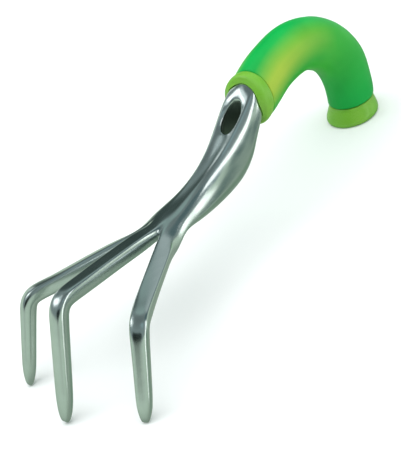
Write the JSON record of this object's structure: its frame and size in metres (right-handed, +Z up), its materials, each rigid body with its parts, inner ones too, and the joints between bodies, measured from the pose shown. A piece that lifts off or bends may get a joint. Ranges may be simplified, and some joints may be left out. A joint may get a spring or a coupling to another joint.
{
  "type": "hand cultivator",
  "caption": "Cast aluminium hand cultivator: tines that rake and loosen soil, a shank with a hang slot, and a soft swan-neck grip.",
  "frame": {"origin": "on the bench under the middle of the tool's footprint", "axes": "+X from the tines to the grip's end cap, +Y across the tines, +Z up off the bench"},
  "size_m": [0.3098, 0.0976, 0.0878],
  "materials": {
    "cast_aluminium": "polished casting with a fine satin grain",
    "sleeve_rubber": "soft satin elastomer, mid green",
    "collar_plastic": "lime green moulded plastic, half gloss",
    "cap_plastic": "lime green moulded plastic, half gloss",
    "core_plastic": "plain moulded polypropylene",
    "pin_steel": "plain spring steel"
  },
  "bodies": {
    "root": {"head_casting": "cast_aluminium", "grip_sleeve": "sleeve_rubber", "front_collar": "collar_plastic", "end_cap": "cap_plastic", "core_half_near": "core_plastic", "core_half_far": "core_plastic", "tang_pin": "pin_steel"}
  },
  "joints": []
}
